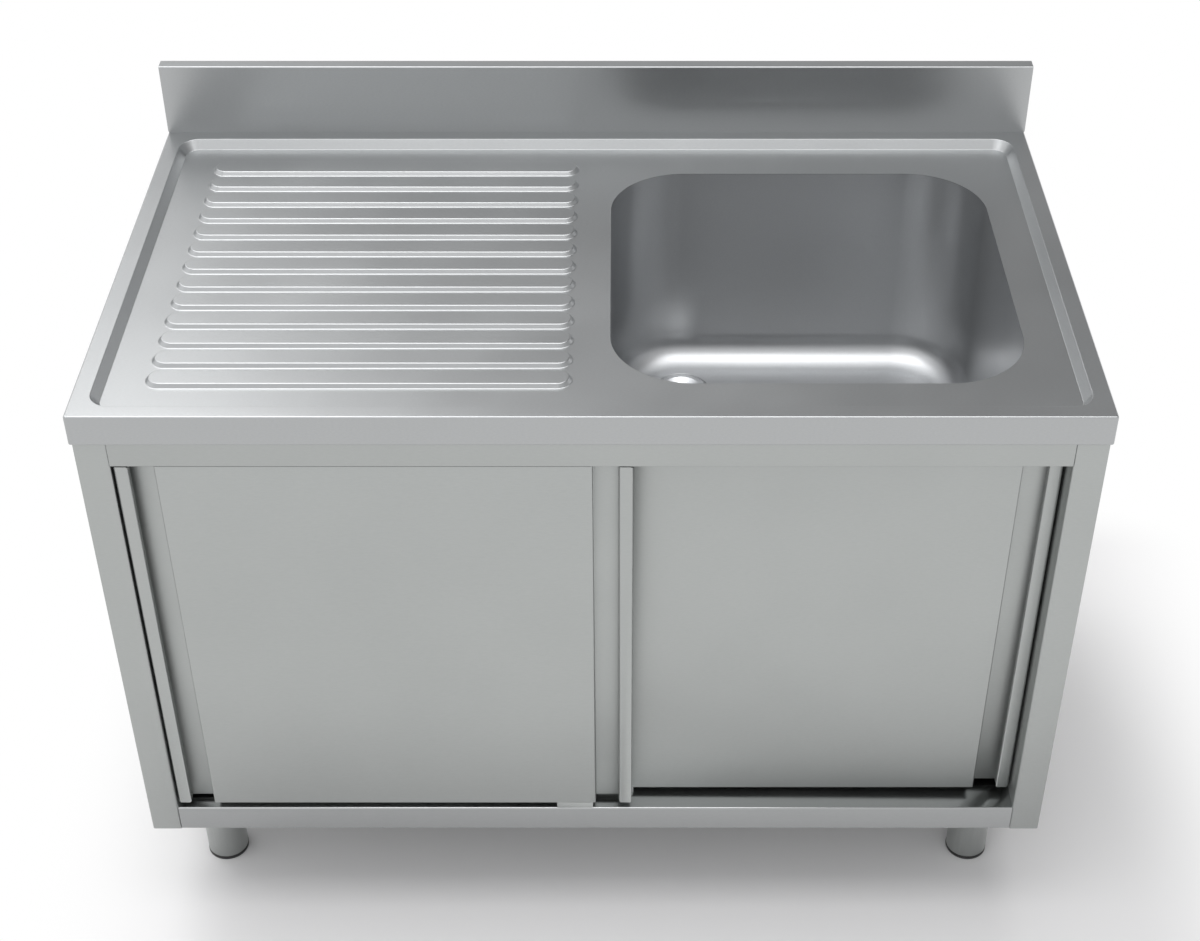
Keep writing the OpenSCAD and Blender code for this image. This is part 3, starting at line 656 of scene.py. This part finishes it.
# Painted light: the top of the cabinet's floor, above its folded front edge, gets the lighter tones
paint_light_zone(finish["shelf_steel_painted_light_and_shade"], "Z", SHELF_PAINTED_LIGHT_Z, SHELF_PAINTED_LIT_DARK, SHELF_PAINTED_LIT_LIGHT, SHELF_ROUGH)


def paint(piece, material):
    piece.data.materials.clear()
    piece.data.materials.append(material)


for part in frame["record"]["subparts"]:
    paint(nodes[part["node"]], finish[part["material_slot"]])
paint(worktop, finish["deck_steel"])
paint(bowl, finish["bowl_steel"])
paint(strainer, finish["chrome_trim"])
# The cabinet's floor gets the steel with a painted lighter top and a painted darker front edge
paint(nodes["floor_shelf"], finish["shelf_steel_painted_light_and_shade"])


# Studio

FLOOR_SIZE = 60
FLOOR_TONE = (0.885, 0.878, 0.88)
FLOOR_ROUGH = 0.9
SHADOW_MIDDLE = (0.12, -0.02)
SHADOW_HALF = (0.62, 0.45)
SHADOW_REACH = (0.30, 0.15)

# Place, aim, size and power of each softbox
SOFTBOXES = {
    "ceiling": ((0.0, -0.13, 3.65), (0, -0.13, 0), (3.2, 3.1), 65),
    "back_left_high": ((-2.0, 2.2, 4.4), (0, 0, 0.85), (3.0, 1.8), 43),
    "back_left_low": ((-2.8, 2.8, 3.35), (0, 0, 0.85), (3.2, 1.6), 9.8),
    "behind": ((-0.6, 2.5, 4.1), (-0.3, 0, 0.85), (1.1, 1.1), 2),
    "left": ((-4.0, -0.3, 2.6), (0, 0, 0.6), (3.0, 2.4), 7.2),
}

# The room's light along two axes, and its low white backdrop: axis, from and to, values there
ROOM_RAMPS = (
    ("Y", (-0.55, 0.6), (0.65, 0.16)),
    ("X", (-0.55, 0.6), (0.41, 0.0)),
    ("Z", (0.25, 0.45), (1.0, 0.0)),
)
ROOM_TONE = (0.985, 0.99, 1.0)

# The photograph's camera
PHOTO_WIDTH = 1200
CAMERA_PLACE = (0.033, -2.1797, 2.1747)
CAMERA_PITCH = 38.43
CAMERA_LENS = 59.69
CAMERA_SENSOR = 36.0
CAMERA_SHIFT = (-20, 34.5)


def seen_rays(tree):
    """Is 1 for what the camera sees directly, mirrored or looked through."""
    rays = tree.nodes.new("ShaderNodeLightPath")
    direct = math_node(tree, "MAXIMUM", (rays, "Is Camera Ray"), (rays, "Is Glossy Ray"))
    return math_node(tree, "MAXIMUM", (direct, "Value"), (rays, "Is Transmission Ray"))


def past_shadow(tree):
    """Rises from 0 to 1 across the edge of the floor area that shows the shadow."""
    split = tree.nodes.new("ShaderNodeSeparateXYZ")
    node_link(tree, tree.nodes.new("ShaderNodeTexCoord"), "Object", split, "Vector")
    squares = []
    for axis, middle, half, reach in zip("XY", SHADOW_MIDDLE, SHADOW_HALF, SHADOW_REACH):
        offset = math_node(tree, "SUBTRACT", (split, axis), middle)
        size = math_node(tree, "ABSOLUTE", (offset, "Value"))
        outside = math_node(tree, "SUBTRACT", (size, "Value"), half)
        clipped = math_node(tree, "MAXIMUM", (outside, "Value"), 0.0)
        share = math_node(tree, "DIVIDE", (clipped, "Value"), reach)
        squares.append(math_node(tree, "POWER", (share, "Value"), 2.0))
    both = math_node(tree, "ADD", (squares[0], "Value"), (squares[1], "Value"))
    distance = math_node(tree, "SQRT", (both, "Value"))
    return range_node(tree, (distance, "Value"), (0.0, 1.0), interpolation="SMOOTHSTEP")


def make_floor():
    """A pale floor that keeps the cabinet's shadow and turns white away from it."""
    piece = begin_piece("studio_floor")
    bpy.ops.mesh.primitive_plane_add(size=FLOOR_SIZE, location=(0, 0, 0))
    bpy.ops.object.mode_set(mode="OBJECT")
    material = bpy.data.materials.new("studio_floor")
    material.use_nodes = True
    tree = material.node_tree
    n = tree.nodes
    shader = n["Principled BSDF"]
    shader.inputs["Base Color"].default_value = (*FLOOR_TONE, 1)
    shader.inputs["Roughness"].default_value = FLOOR_ROUGH
    white = n.new("ShaderNodeEmission")
    share = math_node(tree, "MULTIPLY", (seen_rays(tree), "Value"), (past_shadow(tree), "Result"))
    mixed = n.new("ShaderNodeMixShader")
    node_link(tree, share, "Value", mixed, 0)
    node_link(tree, shader, "BSDF", mixed, 1)
    node_link(tree, white, "Emission", mixed, 2)
    node_link(tree, mixed, "Shader", n["Material Output"], "Surface")
    paint(piece, material)


def add_softbox(name, place, aim, size, power):
    light = bpy.data.lights.new(name, "AREA")
    light.shape = "RECTANGLE"
    light.size = size[0]
    light.size_y = size[1]
    light.energy = power
    lamp = bpy.data.objects.new(name, light)
    scene.collection.objects.link(lamp)
    lamp.location = place
    lamp.rotation_euler = (Vector(aim) - Vector(place)).to_track_quat("-Z", "Y").to_euler()


def make_room():
    """The studio round the cabinet, brightest in front and on the left, over a white backdrop."""
    world = bpy.data.worlds.new("studio")
    scene.world = world
    world.use_nodes = True
    tree = world.node_tree
    n = tree.nodes
    sky = n["Background"]
    sky.inputs["Color"].default_value = (*ROOM_TONE, 1)
    split = n.new("ShaderNodeSeparateXYZ")
    node_link(tree, n.new("ShaderNodeTexCoord"), "Generated", split, "Vector")
    front, side, low = (
        (range_node(tree, (split, axis), span, values, "SMOOTHSTEP"), "Result")
        for axis, span, values in ROOM_RAMPS
    )
    light = math_node(tree, "ADD", front, side)
    backdrop = math_node(tree, "MULTIPLY", (seen_rays(tree), "Value"), low)
    level = n.new("ShaderNodeMix")
    level.inputs["B"].default_value = 1.0
    node_link(tree, backdrop, "Value", level, "Factor")
    node_link(tree, light, "Value", level, "A")
    node_link(tree, level, "Result", sky, "Strength")


def place_camera():
    """Puts the camera where the photograph was taken from."""
    camera_data = bpy.data.cameras.new("camera")
    camera_data.sensor_width = CAMERA_SENSOR
    camera_data.lens = CAMERA_LENS
    camera_data.shift_x = CAMERA_SHIFT[0] / PHOTO_WIDTH
    camera_data.shift_y = CAMERA_SHIFT[1] / PHOTO_WIDTH
    camera = bpy.data.objects.new("camera", camera_data)
    scene.collection.objects.link(camera)
    camera.location = CAMERA_PLACE
    camera.rotation_euler = (math.radians(90 - CAMERA_PITCH), 0, 0)
    scene.camera = camera


make_floor()
for name, values in SOFTBOXES.items():
    add_softbox(name, *values)
make_room()
place_camera()
scene.view_settings.view_transform = "Standard"
